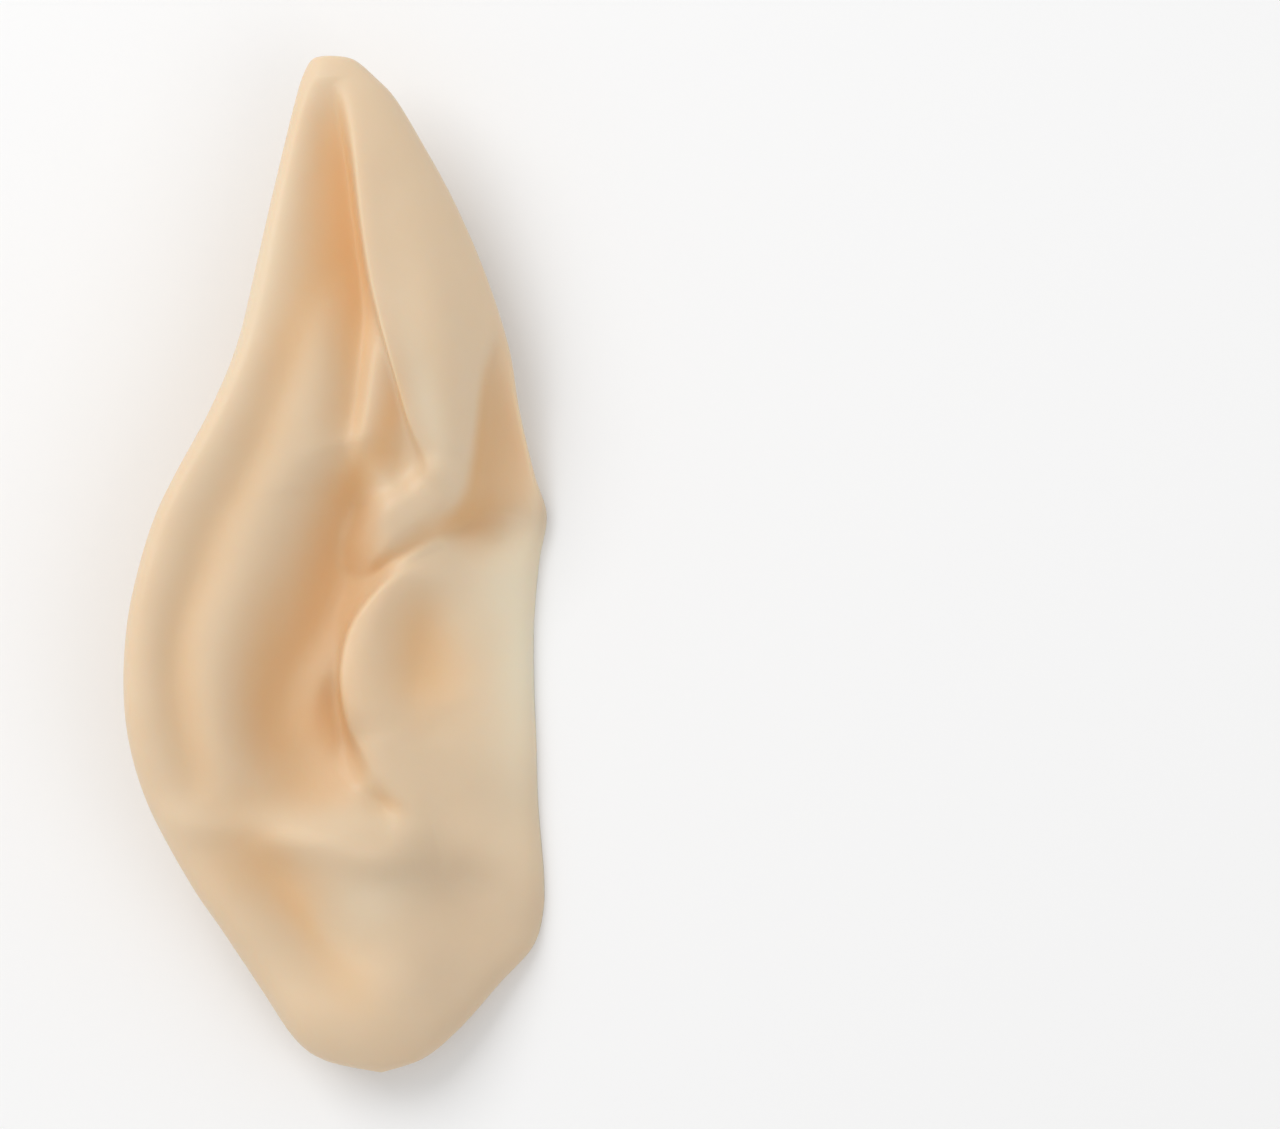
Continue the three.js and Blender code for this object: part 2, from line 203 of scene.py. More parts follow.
FOSSA = Fold(rows(
    Step,
    (0.488, 0.978, 0.00, 0.05, 0.030),
    (0.505, 0.935, -0.20, 0.09, 0.030),
    (0.526, 0.889, -0.27, 0.12, 0.030),
    (0.540, 0.840, -0.28, 0.13, 0.032),
    (0.556, 0.790, -0.28, 0.12, 0.034),
    (0.560, 0.742, -0.24, 0.09, 0.034),
    (0.550, 0.692, -0.18, 0.07, 0.030),
    (0.532, 0.643, -0.14, 0.06, 0.030),
    (0.500, 0.594, 0.00, 0.05, 0.040),
), blush_and_shade=2.3)

FLAP = Fold(rows(
    Step,
    (0.512, 0.975, 0.00, 0.020, 0.080),
    (0.548, 0.935, 0.12, 0.028, 0.100),
    (0.576, 0.889, 0.25, 0.030, 0.130),
    (0.596, 0.840, 0.32, 0.032, 0.150),
    (0.618, 0.790, 0.36, 0.034, 0.160),
    (0.648, 0.742, 0.40, 0.034, 0.150),
    (0.680, 0.692, 0.40, 0.030, 0.120),
    (0.712, 0.643, 0.36, 0.032, 0.090),
    (0.745, 0.604, 0.24, 0.040, 0.075),
    (0.745, 0.575, 0.08, 0.050, 0.060),
    (0.715, 0.550, 0.00, 0.050, 0.050),
), lean=0.035)

FLAP_CREST = Fold(rows(
    Step,
    (0.680, 0.880, 0.00, 0.050, 0.060),
    (0.712, 0.840, 0.06, 0.060, 0.065),
    (0.748, 0.790, 0.12, 0.065, 0.065),
    (0.772, 0.742, 0.18, 0.066, 0.060),
    (0.790, 0.692, 0.22, 0.062, 0.058),
    (0.792, 0.643, 0.22, 0.056, 0.054),
    (0.792, 0.604, 0.18, 0.050, 0.050),
    (0.775, 0.575, 0.07, 0.048, 0.050),
    (0.750, 0.555, 0.00, 0.048, 0.050),
))

TRIANGLE = Fold(rows(
    Step,
    (0.632, 0.690, 0.00, 0.030, 0.030),
    (0.645, 0.660, -0.01, 0.045, 0.030),
    (0.650, 0.630, -0.02, 0.050, 0.030),
    (0.645, 0.605, -0.06, 0.060, 0.030),
    (0.615, 0.585, 0.00, 0.060, 0.050),
), blush_and_shade=4.0)

LOWER_CRUS = Fold(rows(
    Step,
    (0.605, 0.745, 0.00, 0.030, 0.060),
    (0.598, 0.710, 0.11, 0.030, 0.090),
    (0.590, 0.680, 0.13, 0.030, 0.100),
    (0.578, 0.643, 0.13, 0.032, 0.085),
    (0.562, 0.612, 0.12, 0.034, 0.065),
    (0.543, 0.585, 0.07, 0.035, 0.050),
    (0.530, 0.560, 0.00, 0.030, 0.040),
))

SCAPHA = Fold(rows(
    Step,
    (0.460, 0.790, 0.00, 0.060, 0.050),
    (0.425, 0.742, -0.05, 0.070, 0.050),
    (0.386, 0.692, -0.08, 0.060, 0.050),
    (0.342, 0.643, -0.10, 0.060, 0.050),
    (0.292, 0.594, -0.11, 0.060, 0.050),
    (0.226, 0.545, -0.12, 0.060, 0.055),
    (0.182, 0.496, -0.12, 0.055, 0.055),
    (0.140, 0.447, -0.12, 0.050, 0.050),
    (0.127, 0.398, -0.13, 0.050, 0.050),
    (0.140, 0.349, -0.12, 0.050, 0.050),
    (0.164, 0.300, -0.09, 0.050, 0.050),
    (0.200, 0.270, 0.00, 0.050, 0.050),
), blush_and_shade=2.4)

ANTIHELIX = Fold(rows(
    Step,
    (0.505, 0.790, 0.00, 0.05, 0.04),
    (0.510, 0.742, 0.04, 0.08, 0.05),
    (0.512, 0.692, 0.06, 0.09, 0.05),
    (0.498, 0.643, 0.07, 0.10, 0.06),
    (0.460, 0.594, 0.07, 0.11, 0.07),
    (0.388, 0.545, 0.07, 0.11, 0.09),
    (0.322, 0.496, 0.07, 0.10, 0.09),
    (0.264, 0.447, 0.07, 0.08, 0.08),
    (0.232, 0.398, 0.06, 0.07, 0.07),
    (0.230, 0.349, 0.05, 0.07, 0.06),
    (0.252, 0.300, 0.04, 0.06, 0.06),
    (0.280, 0.265, 0.00, 0.06, 0.06),
))

CONCHA = Fold(rows(
    Step,
    (0.505, 0.620, 0.00, 0.08, 0.08),
    (0.532, 0.575, -0.38, 0.10, 0.054),
    (0.515, 0.515, -0.58, 0.11, 0.08),
    (0.475, 0.450, -0.62, 0.12, 0.11),
    (0.425, 0.398, -0.62, 0.12, 0.14),
    (0.410, 0.349, -0.62, 0.12, 0.15),
    (0.430, 0.310, -0.55, 0.13, 0.15),
    (0.460, 0.280, -0.36, 0.14, 0.13),
    (0.485, 0.256, -0.12, 0.14, 0.12),
    (0.500, 0.236, 0.00, 0.12, 0.12),
), blush_and_shade=1.0)

CONCHA_PIT_BEHIND = Fold(rows(
    Step,
    (0.340, 0.430, 0.00, 0.05, 0.05),
    (0.328, 0.370, -0.07, 0.05, 0.05),
    (0.332, 0.330, -0.07, 0.05, 0.05),
    (0.345, 0.290, 0.00, 0.05, 0.05),
), blush_and_shade=1.5)

CONCHA_PIT_UNDER_TRAGUS = Fold(rows(
    Step,
    (0.490, 0.395, 0.00, 0.040, 0.040),
    (0.510, 0.362, -0.12, 0.045, 0.040),
    (0.528, 0.330, -0.17, 0.050, 0.045),
    (0.542, 0.302, -0.08, 0.060, 0.045),
    (0.555, 0.284, 0.00, 0.060, 0.040),
), blush_and_shade=1.6)

CONCHA_RIDGE = Fold(rows(
    Step,
    (0.560, 0.495, 0.00, 0.04, 0.04),
    (0.515, 0.450, 0.08, 0.04, 0.04),
    (0.465, 0.400, 0.11, 0.05, 0.04),
    (0.430, 0.355, 0.07, 0.05, 0.04),
    (0.415, 0.320, 0.00, 0.05, 0.04),
))

HELIX_CRUS = Fold(rows(
    Step,
    (0.800, 0.605, 0.00, 0.050, 0.060),
    (0.766, 0.582, 0.17, 0.068, 0.066),
    (0.704, 0.554, 0.27, 0.078, 0.076),
    (0.636, 0.534, 0.25, 0.084, 0.078),
    (0.586, 0.516, 0.22, 0.074, 0.060),
    (0.560, 0.502, 0.12, 0.054, 0.044),
    (0.546, 0.490, 0.00, 0.040, 0.040),
), power=4.0)

CREASE = Fold(rows(
    Step,
    (0.570, 0.484, 0.00, 0.018, 0.020),
    (0.596, 0.496, -0.09, 0.015, 0.020),
    (0.636, 0.508, -0.13, 0.015, 0.024),
    (0.725, 0.531, -0.15, 0.018, 0.035),
    (0.800, 0.543, -0.12, 0.030, 0.040),
    (0.880, 0.549, -0.09, 0.050, 0.050),
    (0.960, 0.558, 0.00, 0.050, 0.050),
), blush_and_shade=3.0)

TRAGUS = Fold(rows(
    Step,
    (0.800, 0.512, 0.00, 0.040, 0.080),
    (0.725, 0.499, 0.18, 0.036, 0.090),
    (0.644, 0.478, 0.31, 0.036, 0.100),
    (0.576, 0.440, 0.42, 0.036, 0.100),
    (0.552, 0.398, 0.46, 0.034, 0.100),
    (0.562, 0.355, 0.44, 0.034, 0.130),
    (0.598, 0.318, 0.30, 0.048, 0.150),
    (0.645, 0.290, 0.19, 0.068, 0.120),
    (0.668, 0.260, 0.15, 0.052, 0.085),
    (0.674, 0.222, 0.00, 0.050, 0.050),
), lean=0.035)

TRAGUS_DIMPLE = Fold(rows(
    Step,
    (0.730, 0.490, 0.00, 0.05, 0.05),
    (0.705, 0.440, -0.17, 0.06, 0.07),
    (0.700, 0.395, -0.17, 0.06, 0.10),
    (0.710, 0.355, -0.07, 0.05, 0.10),
    (0.720, 0.320, 0.00, 0.05, 0.08),
), blush_and_shade=2.8)

FLAP_HOLLOW = Fold(rows(
    Step,
    (0.900, 0.735, 0.00, 0.016, 0.05),
    (0.881, 0.708, -0.18, 0.017, 0.10),
    (0.865, 0.680, -0.28, 0.018, 0.13),
    (0.856, 0.640, -0.36, 0.019, 0.15),
    (0.848, 0.602, -0.38, 0.021, 0.16),
    (0.830, 0.570, -0.34, 0.024, 0.15),
    (0.792, 0.546, -0.20, 0.026, 0.12),
    (0.745, 0.528, 0.00, 0.030, 0.06),
), power=3.0, blush_and_shade=1.6)

ANTITRAGUS = Fold(rows(
    Step,
    (0.050, 0.258, 0.00, 0.05, 0.05),
    (0.130, 0.252, 0.07, 0.05, 0.05),
    (0.210, 0.247, 0.11, 0.05, 0.05),
    (0.340, 0.240, 0.12, 0.06, 0.06),
    (0.490, 0.227, 0.15, 0.06, 0.058),
    (0.618, 0.214, 0.17, 0.05, 0.052),
    (0.738, 0.224, 0.00, 0.05, 0.060),
))

FOLDS = (
    FOSSA, FLAP, FLAP_CREST, TRIANGLE, LOWER_CRUS, SCAPHA, ANTIHELIX, CONCHA,
    CONCHA_PIT_BEHIND, CONCHA_PIT_UNDER_TRAGUS, CONCHA_RIDGE, HELIX_CRUS, CREASE, TRAGUS,
    TRAGUS_DIMPLE, FLAP_HOLLOW, ANTITRAGUS,
)

SWELLINGS = rows(
    Spot,
    (0.720, 0.541, 35, 0.06, 0.040, 0.04),
    (0.390, 0.178, -54, 0.20, 0.09, -0.32),
    (0.520, 0.120, -56, 0.12, 0.10, -0.12),
    (0.785, 0.183, -15, 0.14, 0.09, -0.24),
    (0.480, 0.060, 0, 0.18, 0.10, 0.12),
    (0.620, 0.265, -22, 0.065, 0.032, -0.12),
)

# Soft spots of colour painted on the outer face, among them painted shade and painted light.
PAINTED_SPOTS = {
    # Blush spots: partly the latex's own tint, partly painted shade in the folds.
    PigmentAndPaintedLight.BLUSH_AND_SHADE: rows(
        Spot,
        (0.340, 0.205, -56, 0.18, 0.07, 0.48),
        (0.240, 0.200, -56, 0.10, 0.06, 0.18),
        (0.426, 0.152, -60, 0.10, 0.03, 0.25),
        (0.620, 0.265, -22, 0.05, 0.025, 0.30),
        (0.315, 0.430, 75, 0.16, 0.06, 0.18),
        (0.500, 0.110, -56, 0.12, 0.07, 0.25),
        (0.400, 0.730, 70, 0.20, 0.05, 0.30),
        (0.622, 0.640, 75, 0.10, 0.036, 0.50),
        (0.545, 0.590, 60, 0.08, 0.045, 0.40),
    ),
    # Painted shade: darkens the lower right of the lobe, the cheek pit, the nub and other places
    # that lie in shade.
    PigmentAndPaintedLight.PAINTED_SHADE: rows(
        Spot,
        (0.530, 0.335, 80, 0.08, 0.04, 0.25),
        (0.460, 0.305, 0, 0.10, 0.05, 0.10),
        (0.720, 0.095, 45, 0.12, 0.08, 0.25),
        (0.790, 0.195, -15, 0.14, 0.08, 0.30),
        (0.760, 0.160, 0, 0.28, 0.10, 0.30),
        (0.780, 0.070, 45, 0.25, 0.12, 0.30),
        (0.930, 0.180, 90, 0.20, 0.08, 0.10),
        (0.900, 0.275, 90, 0.10, 0.10, 0.30),
        (0.970, 0.545, 20, 0.10, 0.05, 0.65),
        (0.630, 0.550, 40, 0.10, 0.050, 0.18),
        (0.470, 0.402, 60, 0.09, 0.040, 0.12),
        (0.500, 0.275, 0, 0.12, 0.050, 0.10),
    ),
    # Pale spots: the thin trimmed latex's own paler tone, and painted light on lit ridges and
    # edges.
    PigmentAndPaintedLight.PALE_AND_PAINTED_LIGHT: rows(
        Spot,
        (0.330, 0.790, 74, 0.40, 0.04, 0.35),
        (0.945, 0.400, 90, 0.40, 0.09, 0.60),
        (0.900, 0.490, 60, 0.14, 0.09, 0.35),
        (0.480, 0.400, 50, 0.14, 0.06, 0.20),
        (0.462, 0.309, 0, 0.12, 0.05, 0.12),
        (0.722, 0.655, -74, 0.16, 0.035, 0.38),
        (0.965, 0.410, 90, 0.16, 0.060, 0.40),
        (0.400, 0.250, 0, 0.26, 0.040, 0.25),
        (0.560, 0.160, 40, 0.14, 0.080, 0.30),
    ),
}


def through(table: Sequence[tuple], share: Grid) -> dict[str, Grid]:
    """Follows a smooth curve through the rows of a table, every column at once.

    Args:
        table: Named tuples of one kind.
        share: Places along the table, from 0 at its first row to 1 at its last.

    Returns:
        Each column's value at those places, by the column's name.
    """
    values = np.array(table, float)
    place = np.clip(share, 0.0, 1.0) * (len(values) - 1)
    index = np.minimum(np.floor(place).astype(int), len(values) - 2)
    part = (place - index)[..., None]
    p0, p1, p2, p3 = (values[np.clip(index + k, 0, len(values) - 1)] for k in (-1, 0, 1, 2))
    v0, v1 = (p2 - p0) / 2, (p3 - p1) / 2
    bend = (2 * p1 - 2 * p2 + v0 + v1) * part + (-3 * p1 + 3 * p2 - 2 * v0 - v1)
    curve = bend * part**2 + v0 * part + p1
    return {name: curve[..., k] for k, name in enumerate(table[0]._fields)}


@dataclass(frozen=True)
class EarForm:
    """The surface of the ear, in millimetres, worked out from its tables and its main sizes."""

    width: float
    height: float
    stand_off: float
    relief: float = 10.0
    wall: float = 1.5
    back_roll: float = 7.0
    rim_fade: float = 2.5
    swell_roll: float = 3.0
    column_crowd: float = 0.30
    edge_limit: float = 0.48
    full_lean_rise: float = 0.4
    samples_per_span: int = 7
    far_reaches: float = 3.0
    least_spread: float = 1e-4

    def x(self, u: Grid) -> Grid:
        """Turns shares of the width into places along X."""
        return (u - 0.5) * self.width

    def y(self, v: Grid) -> Grid:
        """Turns shares of the height into places along Y."""
        return (v - 0.5) * self.height

    def pull(self, fold: Fold, x: Grid, y: Grid) -> tuple[Grid, Grid]:
        """Finds how strongly a fold shapes each place of the outer face.

        Args:
            fold: The fold.
            x: Places along X.
            y: Places along Y.

        Returns:
            The fold's rise at the nearest point of its path, and a share from 0 to 1 that falls
            away from that path.
        """
        count = (len(fold.steps) - 1) * self.samples_per_span
        path = through(fold.steps, np.linspace(0.0, 1.0, count + 1))
        px, py = self.x(path["u"]), self.y(path["v"])
        nearest = np.full(x.shape, np.inf)
        rise, reach = np.zeros_like(x), np.ones_like(x)
        for k in range(count):
            dx, dy = px[k + 1] - px[k], py[k + 1] - py[k]
            share = np.clip(((x - px[k]) * dx + (y - py[k]) * dy) / (dx * dx + dy * dy), 0.0, 1.0)
            gap = np.hypot(x - px[k] - share * dx, y - py[k] - share * dy)
            faceward = dx * (y - py[k]) - dy * (x - px[k]) > 0
            here = {
                name: path[name][k] + (path[name][k + 1] - path[name][k]) * share
                for name in ("rise", "helixward", "faceward")
            }
            closer = gap < nearest
            nearest = np.where(closer, gap, nearest)
            rise = np.where(closer, here["rise"], rise)
            side = np.where(faceward, here["faceward"], here["helixward"])
            reach = np.where(closer, side * self.width, reach)
        return rise, np.exp(-((nearest / reach) ** fold.power))

    def near(self, fold: Fold, x: Grid, y: Grid) -> Grid:
        """Whether each place is near enough to a fold for the fold to show there."""
        steps = np.array(fold.steps)
        px, py = self.x(steps[:, 0]), self.y(steps[:, 1])
        margin = self.far_reaches * steps[:, 3:].max() * self.width
        return ((x > px.min() - margin) & (x < px.max() + margin)
                & (y > py.min() - margin) & (y < py.max() + margin))

    def spot(self, spot: Spot, x: Grid, y: Grid) -> Grid:
        """The share from 0 to 1 that a soft oval has at each place."""
        turn = np.radians(spot.turn)
        dx, dy = x - self.x(spot.u), y - self.y(spot.v)
        along = (dx * np.cos(turn) + dy * np.sin(turn)) / (spot.along * self.width)
        across = (dy * np.cos(turn) - dx * np.sin(turn)) / (spot.across * self.width)
        return np.exp(-(along**2) - across**2)

    def folded(self, x: Grid, y: Grid) -> tuple[Grid, Grid, Grid]:
        """Adds up the folds and swellings of the outer face.

        Args:
            x: Places along X.
            y: Places along Y.

        Returns:
            The height that they add, how far they move the surface along X, and the blush that
            gathers in them, partly the latex's own tint and partly painted shade.
        """
        height, shift, blush_and_shade = np.zeros_like(x), np.zeros_like(x), np.zeros_like(x)
        for fold in FOLDS:
            near = self.near(fold, x, y)
            rise, amount = self.pull(fold, x[near], y[near])
            height[near] += rise * amount * self.relief
            # Blush gathers by the fold's depth: partly the latex's own tint, partly painted shade.
            blush_and_shade[near] += np.abs(rise) * amount * fold.blush_and_shade
            lean = fold.lean * self.width
            shift[near] -= lean * amount * np.clip(rise / self.full_lean_rise, 0.0, 1.0)
        for swelling in SWELLINGS:
            height += swelling.amount * self.relief * self.spot(swelling, x, y)
        return height, shift, blush_and_shade

    def ends(self, t: Grid) -> dict[str, Grid]:
        """The two ends of each section and its sizes.

        Args:
            t: Shares of the way from the tip to the lobe.

        Returns:
            The ends' places, half the distance between them, and the columns of the sections.
        """
        edge, section = through(OUTLINE, t), through(SECTIONS, t)
        helix = np.stack([self.x(edge["helix_u"]), self.y(edge["helix_v"]),
                          section["helix_z"] * self.stand_off], -1)
        face = np.stack([self.x(edge["face_u"]), self.y(edge["face_v"]),
                         section["face_z"] * self.stand_off], -1)
        spread = np.maximum((edge["face_u"] - edge["helix_u"]) / 2, self.least_spread)
        crowd = (edge["edge_u"] - (edge["helix_u"] + edge["face_u"]) / 2) / spread
        half = np.hypot(*(face - helix)[..., :2].T).T / 2
        crowd = np.where(half > 0, np.clip(crowd, -self.edge_limit, self.edge_limit), 0.0)
        return {"helix": helix, "face": face, "half": half, "edge": crowd, **section}

    def outer_face(self, t: Grid, c: Grid) -> tuple[Grid, Grid]:
        """Places points on the side that is seen.

        Args:
            t: Shares of the way from the tip to the lobe.
            c: Shares of the way from the helix to the face side.

        Returns:
            The points, and the blush at each of them, which is partly painted shade in the folds.
        """
        ends = self.ends(t)
        across = -np.cos(np.pi * c + self.column_crowd * np.sin(2 * np.pi * c))
        place = across + ends["edge"] * (1 - across**2)
        share = (1 + place) / 2
        points = ends["helix"] + (ends["face"] - ends["helix"]) * share[..., None]
        room = ends["half"] * (1 - place**2)
        roll = self.width * (ends["helix_roll"] + (ends["face_roll"] - ends["helix_roll"]) * share)
        swell = ends["helix_swell"] + (ends["face_swell"] - ends["helix_swell"]) * share
        narrow = 1 - np.exp(-ends["half"] / self.swell_roll)
        height, shift, blush_and_shade = self.folded(points[..., 0], points[..., 1])
        fade = 1 - np.exp(-room / self.rim_fade)
        swollen = self.stand_off * swell * np.sqrt((1 - np.exp(-room / roll)) * narrow)
        points[..., 0] += shift * fade
        points[..., 2] += swollen + height * fade
        return points, blush_and_shade * fade

    def head_side(self, t: Grid, c: Grid) -> Grid:
        """Places points on the side that faces the head.

        Args:
            t: Shares of the way from the tip to the lobe.
            c: Shares of the way from the helix to the face side.

        Returns:
            The points.
        """
        ends = self.ends(t)
        place = -np.cos(np.pi * c)
        points = ends["helix"] + (ends["face"] - ends["helix"]) * ((1 + place) / 2)[..., None]
        room = ends["half"] * (1 - place**2)
        narrow = 1 - np.exp(-ends["half"] / self.back_roll)
        bulge = np.sqrt((1 - np.exp(-room / self.back_roll)) * narrow)
        points[..., 2] -= ends["back"] * self.stand_off * bulge
        return points


@dataclass(frozen=True)
class Wrap:
    """How finely a ball's grid is laid over the ear: one half outside, the other to the head."""

    rows: int
    outer: int
    head: int
    joined: float = 1e-7

    @property
    def columns(self) -> int:
        """All columns round the ball."""
        return self.outer + self.head

    def lay(self, bm: bmesh.types.BMesh) -> tuple[list[bmesh.types.BMVert], Grid, Grid, Grid]:
        """Adds a sheet whose short edges will be the tip and the lobe, and whose long edges meet.

        Args:
            bm: The mesh that it is added to.

        Returns:
            Its vertices, and for each of them the share from tip to lobe, the share from helix to
            face, and whether it belongs to the outer half.
        """
        sheet = bmesh.ops.create_grid(bm, x_segments=self.columns, y_segments=self.rows, size=0.5)
        verts = sheet["verts"]
        place = np.array([vert.co[:] for vert in verts]) + 0.5
        column = np.rint(place[:, 0] * self.columns)
        outer = column <= self.outer
        c = np.where(outer, column / self.outer, 1 - (column - self.outer) / self.head)
        return verts, place[:, 1], c, outer

    def close(self, bm: bmesh.types.BMesh, verts: list[bmesh.types.BMVert]) -> None:
        """Joins the sheet along its long edges and draws its short ones together."""
        bmesh.ops.remove_doubles(bm, verts=verts, dist=self.joined)


@dataclass
class Hollow:
    """The room for the wearer's own ear: a softened copy of the outer form inside its walls."""

    form: EarForm
    wrap: Wrap = Wrap(rows=84, outer=40, head=20)
    samples: Wrap = Wrap(rows=170, outer=110, head=50)
    top: float = 0.27
    bottom: float = 0.93
    squareness: float = 6.0
    reach: float = 2.4
    least: float = 0.4
    rounding: float = 2.5
    evened: int = 12

    def moved_in(self, samples: Grid, points: Grid, sign: float, reach: float) -> Grid:
        """Moves a sheet of the skin inwards by the wall, and flattens what is narrower than reach.

        Args:
            samples: Points of the sheet.
            points: Places below or above it.
            sign: 1 for the outer face, -1 for the side that faces the head.
            reach: How far round each place the sheet is looked at.

        Returns:
            The height of the moved sheet at each place.
        """
        tree = KDTree(len(samples))
        for index, (x, y, _) in enumerate(samples):
            tree.insert((x, y, 0.0), index)
        tree.balance()
        limits = []
        for x, y, _ in points:
            near = tree.find_range((x, y, 0.0), reach)
            away = np.array([gap for _, _, gap in near]) / reach
            drop = np.sqrt(np.maximum(1 - away**2, 0.0)) * self.form.wall
            height = sign * samples[[index for _, index, _ in near], 2]
            limits.append(np.min(height - drop, initial=np.inf))
        return sign * np.array(limits)

    def build(self, bm: bmesh.types.BMesh) -> None:
        """Adds the hollow's wall to a mesh, and evens it without making the ear's wall thinner.

        Args:
            bm: The mesh.
        """
        form, wrap = self.form, self.wrap
        verts, t, c, outer = wrap.lay(bm)
        down, across = -np.cos(np.pi * t), -np.cos(np.pi * c)
        ends = form.ends(self.top + (self.bottom - self.top) * (1 + down) / 2)
        is_open = np.sqrt(1 - np.abs(down) ** self.squareness)
        share = (1 + across * is_open * (1 - form.wall / ends["half"])) / 2
        points = ends["helix"] + (ends["face"] - ends["helix"]) * share[:, None]
        grid = np.meshgrid(
            np.linspace(0, 1, self.samples.rows), np.linspace(0, 1, self.samples.outer))
        lid = form.outer_face(*grid)[0].reshape(-1, 3)
        bed = form.head_side(*grid).reshape(-1, 3)
        floor = self.moved_in(bed, points, -1.0, form.wall)
        ceiling = np.maximum(self.moved_in(lid, points, 1.0, self.reach), floor + self.least)
        middle = np.clip(points[:, 2], floor, ceiling)
        fullness = np.sqrt(np.maximum(1 - across**2, 0.0))
        rounding = np.minimum(1.0, self.rounding * is_open * fullness)
        points[:, 2] = middle + (np.where(outer, ceiling, floor) - middle) * rounding
        for vert, point in zip(verts, points):
            vert.co = point * MM
        # The sheet's helix edge and its two ends keep their heights, so that they still meet.
        away_from_seam = [vert for vert, inside in zip(verts, (c > 0) & (is_open > 0)) if inside]
        for _ in range(self.evened):
            bmesh.ops.smooth_vert(
                bm, verts=away_from_seam, factor=SMOOTHING,
                use_axis_x=False, use_axis_y=False, use_axis_z=True)
            for vert, limit, is_lid in zip(verts, points[:, 2] * MM, outer):
                vert.co.z = min(vert.co.z, limit) if is_lid else max(vert.co.z, limit)
        wrap.close(bm, verts)


class Link:
    """A value on its way through a material. Sums of links and numbers add their own nodes."""

    def __init__(self, bench: "Bench", socket: bpy.types.NodeSocket) -> None:
        """Keeps the socket and the bench that it belongs to."""
        self.bench = bench
        self.socket = socket

    def _math(self, operation: str, *values: Union["Link", float]) -> "Link":
        """Adds one Math node for an operation on values in their order."""
        return self.bench.add("ShaderNodeMath", {"operation": operation}, dict(enumerate(values)))

    def __add__(self, other: Union["Link", float]) -> "Link":
        """The sum."""
        return self._math("ADD", self, other)

    def __radd__(self, other: float) -> "Link":
        """The sum, from the right."""
        return self._math("ADD", other, self)

    def __sub__(self, other: Union["Link", float]) -> "Link":
        """The difference."""
        return self._math("SUBTRACT", self, other)

    def __rsub__(self, other: float) -> "Link":
        """The difference, from the right."""
        return self._math("SUBTRACT", other, self)

    def __mul__(self, other: Union["Link", float]) -> "Link":
        """The product."""
        return self._math("MULTIPLY", self, other)

    def __rmul__(self, other: float) -> "Link":
        """The product, from the right."""
        return self._math("MULTIPLY", other, self)

    def within(self, low: float, high: float) -> "Link":
        """The value, kept between two numbers."""
        return self._math("MINIMUM", self._math("MAXIMUM", self, low), high)


class Bench:
    """The node tree of one material."""

    def __init__(self, name: str) -> None:
        """Starts an empty material with that name."""
        self.material = bpy.data.materials.new(name)
        self.material.use_nodes = True
        self.tree = self.material.node_tree
        self.tree.nodes.clear()

    def add(self, kind: str, settings: Optional[dict[str, Any]] = None,
            inputs: Optional[dict[Union[int, str], Any]] = None,
            output: Union[int, str] = 0) -> Link:
        """Adds one node.

        Args:
            kind: The node's type.
            settings: Its properties.
            inputs: Links, numbers or colours for its sockets, by index or name.
            output: The output that is passed on.

        Returns:
            That output as a link.
        """
        node = self.tree.nodes.new(kind)
        for key, value in (settings or {}).items():
            setattr(node, key, value)
        for key, value in (inputs or {}).items():
            if isinstance(value, Link):
                self.tree.links.new(value.socket, node.inputs[key])
            else:
                node.inputs[key].default_value = value
        return Link(self, node.outputs[output] if node.outputs else None)

    def mix(self, factor: Link, first: Union[Link, Colour], second: Colour) -> Link:
        """Mixes two colours.

        Args:
            factor: How much of the second is taken.
            first: A link or a colour.
            second: A colour.

        Returns:
            The mixed colour.
        """
        inputs = {0: factor, 6: first, 7: second}
        return self.add("ShaderNodeMix", {"data_type": "RGBA"}, inputs, 2)

    def noise(self, cloud: Cloud) -> Link:
        """Adds a cloudy noise that sits in the piece's own space.

        Args:
            cloud: The noise's sizes.

        Returns:
            Its value, from 0 to 1.
        """
        place = self.add("ShaderNodeTexCoord", output="Object")
        return self.add("ShaderNodeTexNoise", {"noise_dimensions": "3D"}, {
            "Vector": place, "Scale": cloud.scale, "Detail": cloud.detail,
            "Roughness": cloud.roughness}, "Fac")

    def attribute(self, name: str) -> Link:
        """A number that is painted on the piece's own vertices."""
        return self.add("ShaderNodeAttribute", {"attribute_name": name}, output="Fac")

    def finish(self, shader: Link) -> bpy.types.Material:
        """Ends the tree with a shader and hands the material over."""
        self.add("ShaderNodeOutputMaterial", inputs={"Surface": shader})
        return self.material


